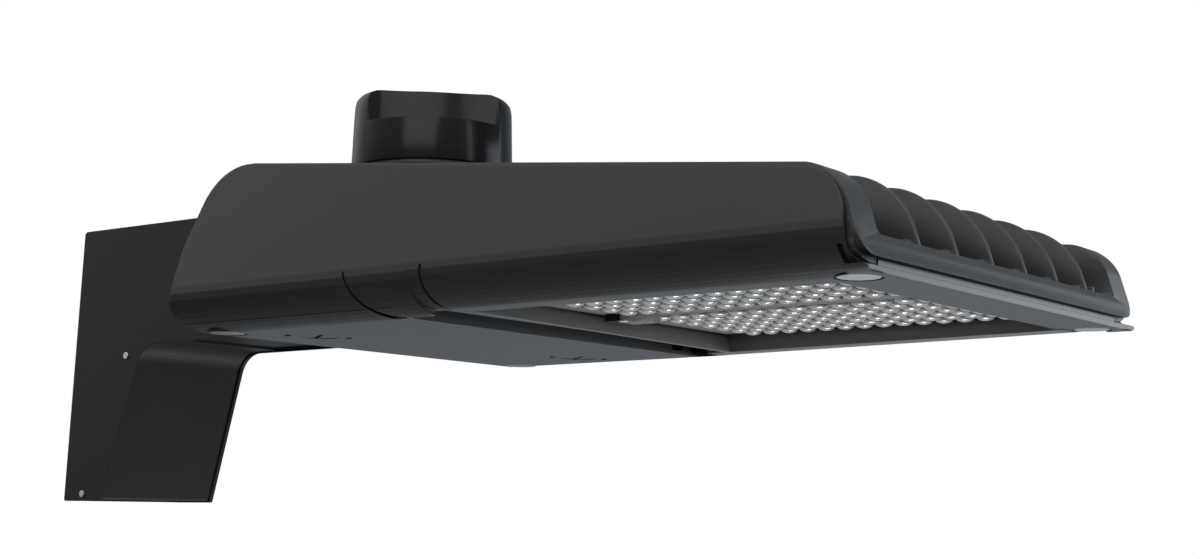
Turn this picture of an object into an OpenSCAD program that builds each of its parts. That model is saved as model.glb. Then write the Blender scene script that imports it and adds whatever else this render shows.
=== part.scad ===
// LED area light on a wall bracket: a wedge-shaped die-cast head with a finned nose,
// carried level on a folded steel bracket. Millimetres. The origin is the centre of the
// bracket's back on the wall: +X runs out to the nose, +Z is up, Y runs across the head.

/* [Head] */
// Width across the head
head_w = 340; // [320:1:360]
// Length of the head from its rear face to the nose
head_len = 510; // [500:1:530]
// Height of the roof line above the underside, at the rear face
roof_h = 105.8; // [102:0.1:110]
// Fall of the roof towards the nose, degrees
roof_fall = 6.1; // [5.5:0.1:6.5]
// Lean of the rear face, degrees
rear_lean = 22.5; // [18:0.5:26]
// Lean of the upper rear face above its knee, degrees
shoulder_lean = 33.5; // [30:0.5:36]
// Height of the knee in the rear face above the underside
knee_z = 50; // [46:0.5:54]
// Radius where the rear face turns into the roof
rear_round = 49; // [44:1:52]
// Radius where the rear face turns under
rear_foot_round = 15; // [10:1:18]
// Radius of the long lower edges
edge_round = 25; // [20:1:27]
// Wall of the cast skin
wall = 3; // [2.5:0.1:3.5]
// Height of the underside above the centre of the bracket's back
head_rise = 4; // [0:1:10]
// Reach of the bracket from the wall to the rear face of the head
arm_reach = 261; // [240:1:280]

/* [Nose and fins] */
// Radius of the fin tips in side view
nose_round = 42.5; // [36:0.5:46]
// Lean of the nose face, degrees
nose_lean = 16.6; // [12:0.1:19]
// Number of cooling fins between the two flanks
fin_count = 6; // [4:1:8]
// Thickness of a fin
fin_t = 2.6; // [2:0.1:3.5]
// Height of the fins above the rim of the flanks
fin_proud = 3.4; // [1:0.1:4]
// Half width of the opening in the nose frame
bay_half = 145.5; // [138:0.5:147]
// Depth of the nose frame
frame_depth = 8; // [5:0.5:12]
// Height of the bay floor above the underside
floor_z = 20; // [19:0.1:22]
// Height of the lip below the nose groove
lip_h = 3.4; // [3:0.1:4]
// Height of the open groove across the nose
groove_h = 4.8; // [3:0.1:6]

/* [Underside] */
// Drop of the driver door below the underside of the light chamber
door_drop = 3; // [2:0.1:4]
// Distance from the rear face to the front edge of the driver door
door_end = 191.5; // [188:0.5:194]
// Distance from the rear face to the rear edge of the light chamber frame
chamber_start = 219; // [216:0.5:222]
// Height of the seam between door and skin above the underside
seam_z = 2.2; // [1.5:0.1:3]
// Diameter of the four corner caps
cap_d = 23.6; // [20:0.1:25]
// Distance of the corner caps from the centre line
cap_y = 141; // [136:1:143]
// Width of the curved slits in the long lower edges
slit_w = 2; // [1:0.1:3]
// Height at which the slits end above the underside
slit_top = 23.5; // [20:0.5:25]

/* [Light engine] */
// Distance from the chamber window to the tip of the nose
nose_bar = 36.5; // [34:0.5:40]
// Distance from the chamber window to each side of the head
side_bar = 38.7; // [37:0.1:41]
// Depth of the optics above the underside
optic_z = 9.6; // [8:0.1:11]
// Number of lens rows in each strip
lens_rows = 7; // [5:1:7]
// Lens spacing along the head
col_pitch = 14.6; // [13:0.1:14.8]
// Lens spacing across the head
row_pitch = 17.47; // [16:0.01:17.6]
// Radius of a lens dome at its foot
dome_r = 5.6; // [4:0.1:6]
// Height of a lens dome
dome_h = 3.4; // [2:0.1:4]
// Thickness of a circuit board
board_t = 1.6; // [1:0.1:2]

/* [Light control] */
// Diameter of the control cap at its foot
control_d = 102; // [96:0.1:104]
// Height of the control cap
control_h = 47; // [42:0.5:50]
// Distance of the control from the rear face of the head
control_x = 135.4; // [134:0.5:142]
// Offset of the control towards the near side
control_y = -73; // [-80:1:-66]
// Height of the control cap's foot above the underside
control_z = 100.4; // [99.5:0.1:102]
// Distance of the two flat grips from the axis of the control cap
grip_flat = 27.5; // [24:0.5:34]
// Height of the ledge below the grips
grip_ledge = 26; // [22:0.5:30]

/* [Wall bracket] */
// Height of the bracket's back on the wall
bracket_h = 208; // [190:1:220]
// Half width of the bracket at its foot
bracket_half = 53; // [50:1:58]
// Lean of each side plate towards the centre, degrees
plate_lean = 1.66; // [1:0.01:2.2]
// Depth of the bracket at its foot
foot_depth = 42.8; // [38:0.1:50]
// Slope of the bracket's front, degrees from vertical
front_slope = 18.2; // [15:0.1:20]
// Radius where the front turns under the arm
elbow_round = 22; // [14:1:26]
// Thickness of the side plates
plate_t = 3; // [2:0.1:4]
// Thickness of the folded sheet
sheet_t = 2; // [1.5:0.1:2.5]
// Thickness of the wall plate
wall_plate_t = 5; // [4:0.5:8]
// Spacing of the wall bolts across the bracket
bolt_dx = 60; // [50:1:64]
// Spacing of the wall bolts up the wall
bolt_dz = 150; // [120:1:160]
// Radius of the wall bolt holes
bolt_hole_r = 4.75; // [3:0.05:6]
// Radius of the wire entry through the wall plate
wire_hole_r = 14; // [10:0.5:16]

/* [Hidden] */

arc_steps = 10;
eps = 0.01;
fit = 0.3;
half_w = head_w / 2;
fall = tan(roof_fall);
big = 2 * head_len;
body_tone = [0.20, 0.21, 0.22];
dark_tone = [0.13, 0.13, 0.14];
steel_tone = [0.72, 0.74, 0.75];

function unit(v) = v / norm(v);
function side_normal(a, b) = [-unit(b - a).y, unit(b - a).x];
function at(pts, i) = pts[(i + len(pts)) % len(pts)];
// An outline moved inwards by d, for points that run anticlockwise
function inset_points(pts, d) = [for (i = [0 : len(pts) - 1])
  let (n1 = side_normal(at(pts, i - 1), at(pts, i)), n2 = side_normal(at(pts, i), at(pts, i + 1)))
  at(pts, i) + d * (n1 + n2) / (1 + n1 * n2)];
// The arc of radius r that touches both sides of the corner b
function corner_arc(a, b, c, r) =
  let (u = unit(a - b), w = unit(c - b), half = acos(u * w) / 2,
    centre = b + unit(u + w) * r / sin(half),
    from = b + u * r / tan(half) - centre, to = b + w * r / tan(half) - centre,
    start = atan2(from.y, from.x), turn = (atan2(to.y, to.x) - start + 540) % 360 - 180)
  [for (i = [0 : arc_steps]) centre + r * [cos(start + turn * i / arc_steps), sin(start + turn * i / arc_steps)]];
function rounded(pts, radii) = [for (i = [0 : len(pts) - 1])
  each (radii[i] <= 0 ? [pts[i]] : corner_arc(at(pts, i - 1), pts[i], at(pts, i + 1), radii[i]))];

// Height of the rim of the head at a distance x from its rear face
function rim_z(x) = roof_h - x * fall;
// The rear face starts this far up, where it stands over the origin of the head
lean_foot = 12.5;
function rear_x(z) = (z - lean_foot) * tan(rear_lean);
function nose_x(z) = head_len - 0.15 - z * tan(nose_lean);

// Corner where the leaning shoulder and the rim line would meet
rear_drop = 0.6;
knee_x = rear_x(knee_z);
shoulder_z = (roof_h - rear_drop - (knee_x - knee_z * tan(shoulder_lean)) * fall) / (1 + tan(shoulder_lean) * fall);
shoulder_x = knee_x + (shoulder_z - knee_z) * tan(shoulder_lean);
// Corner where a line a given height above the rim meets the nose face
function nose_top_z(rise) = (roof_h + rise - (head_len - 0.15) * fall) / (1 - tan(nose_lean) * fall);

// Side outline of the skin, whose underside lies at the height bottom
skin_drop = 2.9;
skin_end = head_len - 11.5;
skin_round = 24;
knee_round = 60;
function skin_outline(bottom) = [
  [rear_x(bottom), bottom],
  [skin_end, bottom],
  [skin_end, rim_z(skin_end) - skin_drop],
  [shoulder_x, shoulder_z],
  [knee_x, knee_z]];
module skin_profile(bottom, d) {
  polygon(rounded(inset_points(skin_outline(bottom), d),
    [rear_foot_round - d, 0, skin_round - d, rear_round - d, knee_round - d]));
}
// Cross section of the head with its two rounded lower edges
module cross_section(half, bottom, top, r) {
  polygon(rounded([[-half, bottom], [half, bottom], [half, top], [-half, top]], [r, r, 0, 0]));
}
module along_x(length) {
  rotate([90, 0, 90]) linear_extrude(height = length, convexity = 6) children();
}
module across_y(width) {
  rotate([90, 0, 0]) translate([0, 0, -width / 2]) linear_extrude(height = width, convexity = 8) children();
}
module head_frame() {
  translate([arm_reach, 0, head_rise]) children();
}
module block(lo, hi) {
  translate(lo) cube(hi - lo);
}
module both_sides() {
  children();
  mirror([0, 1, 0]) children();
}

// The skin's whole volume, inset by d: behind the step it hangs lower by the door's drop
step_x = chamber_start - 8;
module rear_volume(d) {
  intersection() {
    across_y(head_w) skin_profile(-door_drop, d);
    translate([-head_len / 2, 0, 0]) along_x(head_len / 2 + step_x)
      cross_section(half_w - d, d - door_drop, 2 * roof_h, edge_round + door_drop - d);
  }
}
module front_volume(d) {
  intersection() {
    across_y(head_w) skin_profile(0, d);
    translate([step_x, 0, 0]) along_x(head_len)
      cross_section(half_w - d, d, 2 * roof_h, edge_round - d);
  }
}

// The mounting face of the head: a frame that lies on the leaning rear face
face_z = lean_foot + 1;
module on_rear_face(along = 0) {
  translate([rear_x(face_z), 0, face_z]) rotate([0, rear_lean, 0]) translate([0, 0, along]) children();
}
flange_h = 50;
flange_half = 45;
flange_mid = flange_h / 2 + 1;
head_bolt_dy = 62;
head_bolt_dz = 28;
head_bolt_r = 4;
bolt_room = 0.3;
module at_head_bolts() {
  for (y = [-head_bolt_dy / 2, head_bolt_dy / 2], z = [-head_bolt_dz / 2, head_bolt_dz / 2])
    on_rear_face(flange_mid + z) translate([0, y, 0]) rotate([0, 90, 0]) children();
}

// Outer shell: sides, rounded lower edges, rear face, chamber frame and nose lip
pad_t = 6;
channel_floor = 6;
window_start = chamber_start + 8.7;
window_l = head_len - nose_bar - window_start;
window_w = head_w - 2 * side_bar;
window_mid = window_start + window_l / 2;
cap_rear_x = 25.8;
cap_front_x = head_len - 19.6;
cap_t = 1.6;
cap_room = 0.6;
roof_start = 62;
lip_end = head_len - 1.5;
module window_hole(grow) {
  translate([window_mid, 0, 0]) square([window_l + 2 * grow, window_w + 2 * grow], center = true);
}
module slit(cx, cz, r) {
  across_y(head_w + 2) difference() {
    translate([cx, cz]) circle(r = r + slit_w / 2, $fn = 72);
    translate([cx, cz]) circle(r = r - slit_w / 2, $fn = 72);
  }
}
slit_r = edge_round + door_drop;
slit_front_r = 35;
module slits() {
  intersection() {
    union() {
      intersection() {
        slit(door_end - 3.5, edge_round, slit_r);
        block([0, -half_w - 1, -roof_h], [door_end - 1.5, half_w + 1, roof_h]);
      }
      slit(chamber_start + 2 + slit_front_r, edge_round - 11, slit_front_r);
    }
    block([door_end - 40, -half_w - 1, -2 * door_drop], [chamber_start + 5, half_w + 1, slit_top]);
    difference() {
      block([0, -half_w - 1, -2 * door_drop], [head_len, half_w + 1, roof_h]);
      block([0, edge_round - half_w, -3 * door_drop], [head_len, half_w - edge_round, 2 * roof_h]);
    }
  }
}
// Lip in front of the nose groove, with the groove's back wall and a flare at each side
lip_round = 12;
lip_corner = 8;
groove_deep = 4;
module lip_plan() {
  polygon(rounded([[0, -half_w], [lip_end, -half_w], [lip_end, half_w], [0, half_w]], [0, lip_corner, lip_corner, 0]));
}
module nose_lip() {
  tip = 0.8;
  flare = 9;
  back_half = half_w - edge_round;
  intersection() {
    across_y(head_w) polygon([
      [window_mid + window_l / 2, 0],
      [lip_end - tip, 0],
      [lip_end, tip],
      [lip_end, lip_h],
      [window_mid + window_l / 2, lip_h]]);
    along_x(head_len + 1) cross_section(half_w, 0, roof_h, lip_round);
    translate([0, 0, -1]) linear_extrude(height = roof_h) lip_plan();
    block([skin_end - 4, -half_w, -1], [head_len, half_w, roof_h]);
  }
  // Flares that run from the skin's front edge down into the lip
  difference() {
    intersection() {
      across_y(head_w) polygon(rounded([
        [skin_end - 2, 0],
        [lip_end, 0],
        [lip_end, lip_h],
        [skin_end, lip_h],
        [skin_end, lip_h + flare + 2],
        [skin_end - 2, lip_h + flare + 2]], [0, 0, 0, flare, 0, 0]));
      along_x(head_len + 1) cross_section(half_w, 0, roof_h, edge_round);
      translate([0, 0, -1]) linear_extrude(height = roof_h) lip_plan();
    }
    along_x(head_len + 2) cross_section(half_w - wall, wall, roof_h, edge_round - wall);
  }
  block([nose_x(sink_bottom) - groove_deep - wall, -back_half, lip_h - 1],
    [nose_x(sink_bottom) - groove_deep, back_half, sink_bottom - fit]);
}
module shell_solid() {
  difference() {
    union() {
      difference() {
        union() {
          rear_volume(0);
          front_volume(0);
        }
        rear_volume(wall);
        intersection() {
          front_volume(wall);
          block([step_x - 1, -half_w, lip_h], [head_len, half_w, roof_h]);
        }
        // Opening between the two inner spaces
        intersection() {
          block([step_x - 1, -half_w, channel_floor + wall], [step_x + 1, half_w, rim_z(step_x) - wall]);
          along_x(head_len) cross_section(half_w - wall, wall, 2 * roof_h, edge_round - wall);
        }
        // Open roof and open nose
        block([roof_start, -half_w + wall, roof_h / 3], [head_len, half_w - wall, 2 * roof_h]);
        block([skin_end - 5, -half_w + wall, lip_h], [head_len, half_w - wall, roof_h]);
        // Door below the seam, and the cross channel ahead of it
        block([-roof_h, -half_w, -roof_h], [door_end + fit, half_w, seam_z + fit]);
        block([door_end, edge_round - half_w, -roof_h], [chamber_start, half_w - edge_round, channel_floor]);
        block([door_end - 6, edge_round - half_w, -roof_h], [door_end + 1, half_w - edge_round, channel_floor]);
      }
      nose_lip();
      // Floor of the cross channel
      block([door_end - 9, edge_round - half_w, channel_floor],
        [chamber_start + wall, half_w - edge_round, channel_floor + wall]);
      block([chamber_start, edge_round - half_w, 0],
        [chamber_start + wall, half_w - edge_round, channel_floor + wall]);
      // Pad behind the bracket's end plate
      intersection() {
        rear_volume(wall - eps);
        on_rear_face(1) translate([wall - 1, -flange_half, 0]) cube([pad_t + 1, 2 * flange_half, flange_h]);
      }
    }
    translate([0, 0, -1]) linear_extrude(height = lip_h + 2) window_hole(0);
    slits();
    translate([0, 0, -door_drop]) both_sides()
      translate([cap_front_x, cap_y, door_drop - 1]) cylinder(h = cap_t + 1 + fit, d = cap_d + 2 * cap_room, $fn = 64);
    both_sides() translate([cap_front_x, cap_y, -1]) cylinder(h = lip_h + 2, r = 2.2, $fn = 24);
    at_head_bolts() translate([0, 0, -1]) cylinder(h = wall + pad_t + 4, r = head_bolt_r + bolt_room, $fn = 32);
    on_rear_face(flange_mid) rotate([0, 90, 0]) translate([0, 0, -1])
      cylinder(h = wall + pad_t + 4, r = wire_hole_r - 3, $fn = 48);
  }
}
module outer_shell() {
  color(body_tone) head_frame() shell_solid();
}

// Heat sink casting: driver bay roof, board plate, fins, flanks and nose frame
sink_inset = wall + fit;
flank_t = 3.2;
bay_wall_x = 200;
bay_wall_t = 4;
board_top = optic_z + 6.5;
sink_bottom = lip_h + groove_h;
fin_pitch = 2 * (bay_half - 1) / (fin_count + 1);
frame_corner = 6;
frame_round = 12;
rear_slope = 12;
function sink_outline(rise, bottom) = [
  [roof_start + fit, bottom],
  [nose_x(bottom), bottom],
  [nose_x(nose_top_z(rise)), nose_top_z(rise)],
  [roof_start + rear_slope, rim_z(roof_start + rear_slope) + rise],
  [roof_start + fit, rim_z(roof_start) - 4]];
module sink_profile(rise, bottom, d) {
  polygon(rounded(inset_points(sink_outline(rise, bottom), d), [0, 0, nose_round - d, 0, 0]));
}
module sink_plan(half) {
  linear_extrude(height = 2 * roof_h) polygon(rounded(
    [[0, -half], [head_len, -half], [head_len, half], [0, half]], [0, frame_corner, frame_corner, 0]));
}
module sink_volume(bottom, d) {
  half = half_w - sink_inset - d;
  intersection() {
    across_y(head_w) sink_profile(0, bottom, d);
    along_x(head_len) cross_section(half, sink_inset + d, 2 * roof_h, edge_round - sink_inset - d);
    sink_plan(half);
  }
}
// Nose frame: two posts and a lower bar that follow the outline of the fin tips
module nose_frame() {
  half = half_w - sink_inset;
  post_half = half - 5;
  post_start = nose_x(0) - 52;
  difference() {
    union() {
      intersection() {
        across_y(2 * post_half) sink_profile(fin_proud, sink_bottom, 0);
        along_x(head_len) cross_section(half, sink_inset, 2 * roof_h, edge_round - sink_inset);
        across_y(head_w) polygon([
          [post_start, sink_bottom],
          [head_len, sink_bottom],
          [head_len, roof_h],
          [post_start + 30, rim_z(post_start + 30) + fin_proud],
          [post_start, rim_z(post_start) - 0.2]]);
        sink_plan(half);
      }
      // Below the flanks the frame comes out from under the skin
      intersection() {
        across_y(head_w) sink_profile(0, sink_bottom, 0);
        along_x(head_len) cross_section(half, sink_bottom, 2 * roof_h, frame_round);
        block([skin_end + 1.8, -half, sink_bottom], [head_len, half, roof_h]);
        sink_plan(half);
      }
    }
    intersection() {
      across_y(head_w) sink_profile(fin_proud, sink_bottom, frame_depth);
      block([bay_wall_x, -half_w, floor_z], [head_len, half_w, roof_h]);
    }
    block([post_start - 1, -bay_half, floor_z], [head_len, bay_half, 2 * roof_h]);
    block([post_start - 1, -half + flank_t, 0], [head_len - frame_depth - 16, half - flank_t, board_top]);
  }
}
module fins() {
  intersection() {
    across_y(head_w) sink_profile(fin_proud, board_top, 0);
    for (i = [1 : fin_count]) {
      y = (i - (fin_count + 1) / 2) * fin_pitch;
      block([bay_wall_x + 1, y - fin_t / 2, board_top], [head_len, y + fin_t / 2, 2 * roof_h]);
    }
  }
}
// Small cast ledge where each fin meets the frame
module fin_feet() {
  foot_l = 6;
  foot_w = 7;
  foot_h = 2.2;
  for (i = [1 : fin_count]) {
    y = (i - (fin_count + 1) / 2) * fin_pitch - fin_t / 2;
    block([nose_x(floor_z) - frame_depth - foot_l, y - foot_w, floor_z - 1], [nose_x(floor_z + foot_h) - 3, y + 1, floor_z + foot_h]);
  }
}
boss_d = control_d - 6.4;
boss_top = control_z - 4;
receptacle_r = 29;
module heat_sink_solid() {
  difference() {
    union() {
      difference() {
        sink_volume(sink_bottom, 0);
        // Driver bay below the roof
        intersection() {
          translate([0, 0, -flank_t]) sink_volume(0, 0);
          block([roof_start - 5, -half_w + sink_inset + flank_t, -1],
            [bay_wall_x, half_w - sink_inset - flank_t, 2 * roof_h]);
        }
        // Space of the fins above the board plate, closed at the nose by the frame
        block([bay_wall_x + bay_wall_t, -bay_half, floor_z],
          [nose_x(floor_z) - frame_depth, bay_half, 2 * roof_h]);
        block([nose_x(floor_z) - 2 * roof_h, -bay_half, floor_z], [head_len, bay_half, 2 * roof_h]);
        // Space of the boards and optics
        block([bay_wall_x + bay_wall_t, -half_w + sink_inset + flank_t, 0],
          [head_len - frame_depth - 16, half_w - sink_inset - flank_t, board_top]);
      }
      nose_frame();
      fins();
      fin_feet();
      // Raised round seat, level on the sloping roof
      translate([control_x, control_y, rim_z(control_x) - 6]) cylinder(h = boss_top - rim_z(control_x) + 6, d = boss_d, $fn = 96);
    }
    // Below the seat the bay stays open
    intersection() {
      translate([0, 0, -flank_t]) sink_volume(0, 0);
      block([roof_start - 5, -half_w + sink_inset + flank_t, -1],
        [bay_wall_x, half_w - sink_inset - flank_t, 2 * roof_h]);
    }
    translate([control_x, control_y, 0]) cylinder(h = 2 * roof_h, r = receptacle_r + fit, $fn = 96);
    // Clearance over the cross channel of the shell
    block([roof_start, -half_w, -1], [chamber_start + wall + 1, half_w, channel_floor + wall + fit]);
    lead_bore(bay_wall_x - 1, bay_wall_t + 2);
  }
}
lead_r = 2;
lead_z = board_top - 2.4;
module lead_bore(from, length) {
  translate([from, 0, lead_z]) rotate([0, 90, 0]) cylinder(h = length, r = lead_r + fit, $fn = 32);
}
module heat_sink() {
  color(body_tone) head_frame() heat_sink_solid();
}

// Driver door: a shallow cast pan that closes the rear of the underside
latches = [[62, -97], [110.5, 108]];
latch_r = 13;
latch_turn = -33;
rivet_reach = 19.6;
notch_w = 12;
module door_solid() {
  difference() {
    union() {
      intersection() {
        difference() {
          rear_volume(0);
          rear_volume(wall);
        }
        block([-roof_h, -half_w, -2 * door_drop], [door_end, half_w, seam_z]);
      }
      // Upright flange at the front edge
      block([door_end - wall, edge_round - half_w + fit, -door_drop + 1], [door_end, half_w - edge_round - fit, channel_floor - fit]);
    }
    slits();
    both_sides() translate([cap_rear_x, cap_y, -door_drop - 2]) cylinder(h = 2 + cap_t + fit, d = cap_d + 2 * cap_room, $fn = 64);
    both_sides() translate([cap_rear_x, cap_y, -2 * door_drop]) cylinder(h = 2 * door_drop + wall, r = 2.2, $fn = 24);
    for (p = latches) translate([p.x, p.y, -2 * door_drop]) cylinder(h = 2 * door_drop + wall, r = latch_r + fit / 2, $fn = 64);
    // Two hinge notches at the far end of the front flange
    for (y = [half_w - 58, half_w - 36]) block([door_end - wall - 1, y, 0], [door_end + 1, y + notch_w, channel_floor]);
  }
}
module driver_door() {
  color(body_tone) head_frame() door_solid();
}
// Gasket ring across the seam between door and shell, open towards the cross channel
module door_gasket() {
  gasket_w = 3;
  ring_half = cap_y + 4.6;
  ring_rear = rear_foot_round;
  color(dark_tone) head_frame() intersection() {
    difference() {
      rear_volume(wall + fit);
      rear_volume(wall + fit + gasket_w);
      block([ring_rear, -ring_half, -door_drop], [step_x, ring_half, roof_h]);
    }
    block([-roof_h, -half_w, seam_z - 0.5], [door_end - 12, half_w, seam_z + 2.3]);
  }
}
// Quarter-turn latches with a coin slot, each with its two rivets
module door_latches() {
  head_t = 2.6;
  slot_l = 24;
  slot_w = 3;
  slot_deep = 1.4;
  stud_r = 6;
  stud_h = 9;
  rivet_r = 2;
  color(body_tone) head_frame() for (p = latches) translate([p.x, p.y, -door_drop + 0.3]) rotate([0, 0, latch_turn]) {
    difference() {
      union() {
        cylinder(h = head_t, r = latch_r, $fn = 64);
        cylinder(h = stud_h, r = stud_r, $fn = 48);
        translate([-latch_r - 3, -stud_r, stud_h - 2]) cube([latch_r + stud_r + 3, 2 * stud_r, 2]);
      }
      translate([-slot_l / 2, -slot_w / 2, -1]) cube([slot_l, slot_w, slot_deep + 1]);
    }
    for (y = [-rivet_reach, rivet_reach]) translate([0, y, -0.9]) cylinder(h = 0.6, r = rivet_r, $fn = 24);
  }
}
module corner_caps() {
  stem_r = 2;
  stem_h = 6.5;
  color(steel_tone) head_frame() {
    both_sides() translate([cap_rear_x, cap_y, -door_drop + 0.2]) {
      cylinder(h = cap_t - 0.2, d = cap_d, $fn = 64);
      cylinder(h = stem_h, r = stem_r, $fn = 24);
    }
    both_sides() translate([cap_front_x, cap_y, -0.3]) {
      cylinder(h = cap_t, d = cap_d, $fn = 64);
      cylinder(h = stem_h, r = stem_r, $fn = 24);
    }
  }
}
// Push nuts that hold the stems of the corner caps from inside
module corner_nuts() {
  nut_r = 3.6;
  lift = 0.2;
  nut_h = 1.5;
  bore_r = 2.05;
  color(steel_tone) head_frame() both_sides() {
    translate([cap_rear_x, cap_y, wall - door_drop + lift]) difference() {
      cylinder(h = nut_h, r = nut_r, $fn = 32);
      translate([0, 0, -1]) cylinder(h = nut_h + 2, r = bore_r, $fn = 24);
    }
    translate([cap_front_x, cap_y, lip_h]) difference() {
      cylinder(h = nut_h, r = nut_r, $fn = 32);
      translate([0, 0, -1]) cylinder(h = nut_h + 2, r = bore_r, $fn = 24);
    }
  }
}

// Light chamber: retainer, gasket, lenses and boards, from the window upwards
retainer_t = 1.6;
strip_inner = 8.5;
strip_outer = lens_rows * row_pitch + 8.3;
lens_cols = floor((window_l - 40) / col_pitch);
array_l = (lens_cols - 1) * col_pitch;
array_mid = window_start + 25 + array_l / 2;
strip_l = array_l + 14;
strip_half = strip_l / 2;
field_t = 2.6;
flange_w = 2;
retainer_half_l = window_l / 2 + 4;
retainer_half_w = window_w / 2 + 4;
module strip_window(grow, t) {
  both_sides() block([array_mid - strip_half - grow, strip_inner - grow, 0],
    [array_mid + strip_half + grow, strip_outer + grow - 0.2, t]);
}
module optic_retainer() {
  color([0.27, 0.27, 0.27]) head_frame() difference() {
    union() {
      translate([window_mid, 0, optic_z + retainer_t / 2])
        cube([2 * retainer_half_l, 2 * retainer_half_w, retainer_t], center = true);
      difference() {
        translate([0, 0, lip_h + fit]) linear_extrude(height = optic_z - lip_h) window_hole(3);
        translate([0, 0, lip_h - 1]) linear_extrude(height = optic_z) window_hole(0.4);
      }
    }
    translate([0, 0, optic_z - 1]) strip_window(0, retainer_t + 2);
    translate([connector_x, 0, optic_z - 1]) cylinder(h = retainer_t + 2, r = post_r + fit, $fn = 32);
  }
}
module chamber_gasket() {
  gasket_z = optic_z + retainer_t;
  color(dark_tone) head_frame() difference() {
    translate([window_mid, 0, gasket_z + (board_top - gasket_z) / 2])
      cube([2 * retainer_half_l - 1, 2 * retainer_half_w - 1, board_top - gasket_z], center = true);
    translate([window_mid, 0, gasket_z + (board_top - gasket_z) / 2])
      cube([2 * retainer_half_l - 9, 2 * retainer_half_w - 5.5, board_top], center = true);
    lead_bore(window_mid - retainer_half_l - 1, 8);
  }
}
// One moulded strip: a flat field with a dome over every light source
module lens_strip() {
  sphere_r = (dome_r * dome_r + dome_h * dome_h) / (2 * dome_h);
  top = optic_z + retainer_t;
  block([array_mid - strip_half + fit, strip_inner + fit, optic_z + 0.2],
    [array_mid + strip_half - fit, strip_outer - 0.2 - fit, top]);
  block([array_mid - strip_half - flange_w, strip_inner - flange_w, top],
    [array_mid + strip_half + flange_w, strip_outer + flange_w / 2, top + 1]);
  intersection() {
    block([array_mid - strip_half, strip_inner, optic_z - dome_h - 1], [array_mid + strip_half, strip_outer, optic_z + 1]);
    for (i = [0 : lens_cols - 1], j = [1 : lens_rows])
      translate([array_mid + (i - (lens_cols - 1) / 2) * col_pitch, j * row_pitch, optic_z + 0.2 - dome_h + sphere_r])
        sphere(r = sphere_r, $fn = 24);
  }
}
module lens_strip_near() {
  color([0.85, 0.87, 0.88]) head_frame() mirror([0, 1, 0]) lens_strip();
}
module lens_strip_far() {
  color([0.85, 0.87, 0.88]) head_frame() lens_strip();
}
// One board with a light source under each dome
module led_board() {
  chip = 3.4;
  chip_t = 0.8;
  block([array_mid - strip_half + 1, strip_inner + 1, board_top - board_t],
    [array_mid + strip_half - 1, strip_outer - 1, board_top]);
  for (i = [0 : lens_cols - 1], j = [1 : lens_rows])
    translate([array_mid + (i - (lens_cols - 1) / 2) * col_pitch, j * row_pitch, board_top - board_t - chip_t / 2 + eps])
      cube([chip, chip, chip_t + eps], center = true);
}
module led_board_near() {
  color("white") head_frame() mirror([0, 1, 0]) led_board();
}
module led_board_far() {
  color("white") head_frame() led_board();
}
connector_x = window_start + 9;
connector_half = 15;
post_r = 3.5;
module led_connector() {
  color(dark_tone) head_frame() {
    block([connector_x - 4, -connector_half, optic_z - 4.6], [connector_x + 4, connector_half, optic_z]);
    translate([connector_x, 0, optic_z - 1]) cylinder(h = lead_z + lead_r - optic_z + 1, r = post_r, $fn = 32);
    for (y = [-8, 0, 8]) translate([connector_x + 4, y, optic_z - 2.4]) rotate([0, 90, 0]) cylinder(h = 4, r = 1.2, $fn = 24);
  }
}
module connector_cover() {
  cover_t = 1;
  color([0.85, 0.87, 0.88]) head_frame() difference() {
    block([connector_x + 4 + fit, -11, optic_z - 5.2], [array_mid - strip_half + 16, 4, optic_z]);
    block([connector_x + 3, -11 + cover_t, optic_z - 5.2 + cover_t], [array_mid - strip_half + 16 - cover_t, 4 - cover_t, optic_z + 1]);
  }
}
// Insulated lead from the driver bay through the bay wall to the post of the connector
module led_lead() {
  lead_start = bay_wall_x - 18;
  color("white") head_frame() translate([lead_start, 0, lead_z]) rotate([0, 90, 0])
    cylinder(h = connector_x - post_r - 0.1 - lead_start, r = lead_r, $fn = 32);
}

// Inside the driver bay
tray_t = 2;
tray_z = 0.3;
driver_l = 140;
driver_w = 82;
driver_h = 34;
driver_x = 38;
tray_end = half_w - 70;
driver_y = tray_end - 106;
tray_low = 110 - half_w;
tray_x = door_end - 13.5;
stud_in = 8;
stud_places = [[30, tray_low + stud_in], [30, tray_end - stud_in], [tray_x - stud_in, tray_low + stud_in],
  [tray_x - stud_in, tray_end - stud_in]];
module driver_tray() {
  color(steel_tone) head_frame() difference() {
    union() {
      block([24, tray_low, tray_z], [tray_x, tray_end, tray_z + tray_t]);
      block([24, tray_low, tray_z], [24 + tray_t, tray_end, tray_z + 10]);
    }
    for (p = stud_places) translate([p.x, p.y, -1]) cylinder(h = tray_t + 3, r = 2.2, $fn = 24);
  }
}
module led_driver() {
  z = tray_z + tray_t;
  color([0.88, 0.88, 0.86]) head_frame() difference() {
    union() {
      block([driver_x, driver_y, z], [driver_x + driver_l, driver_y + driver_w, z + driver_h]);
      block([driver_x - 7, driver_y + driver_w / 2 - 12, z], [driver_x + 1, driver_y + driver_w / 2 + 12, z + 2]);
    }
    for (i = [-1, 1]) translate([driver_x + driver_l / 2, driver_y + driver_w / 2 + i * (driver_w / 2 + 1), z + driver_h + 1])
      cube([driver_l - 16, 8, 6], center = true);
  }
}
module surge_protector() {
  z = tray_z + tray_t;
  color([0.1, 0.1, 0.12]) head_frame() {
    block([60, tray_low + 10, z], [104, tray_low + 42, z + 22]);
    translate([82, tray_low + 26, z + 22]) cylinder(h = 4, r = 9, $fn = 48);
  }
}
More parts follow.
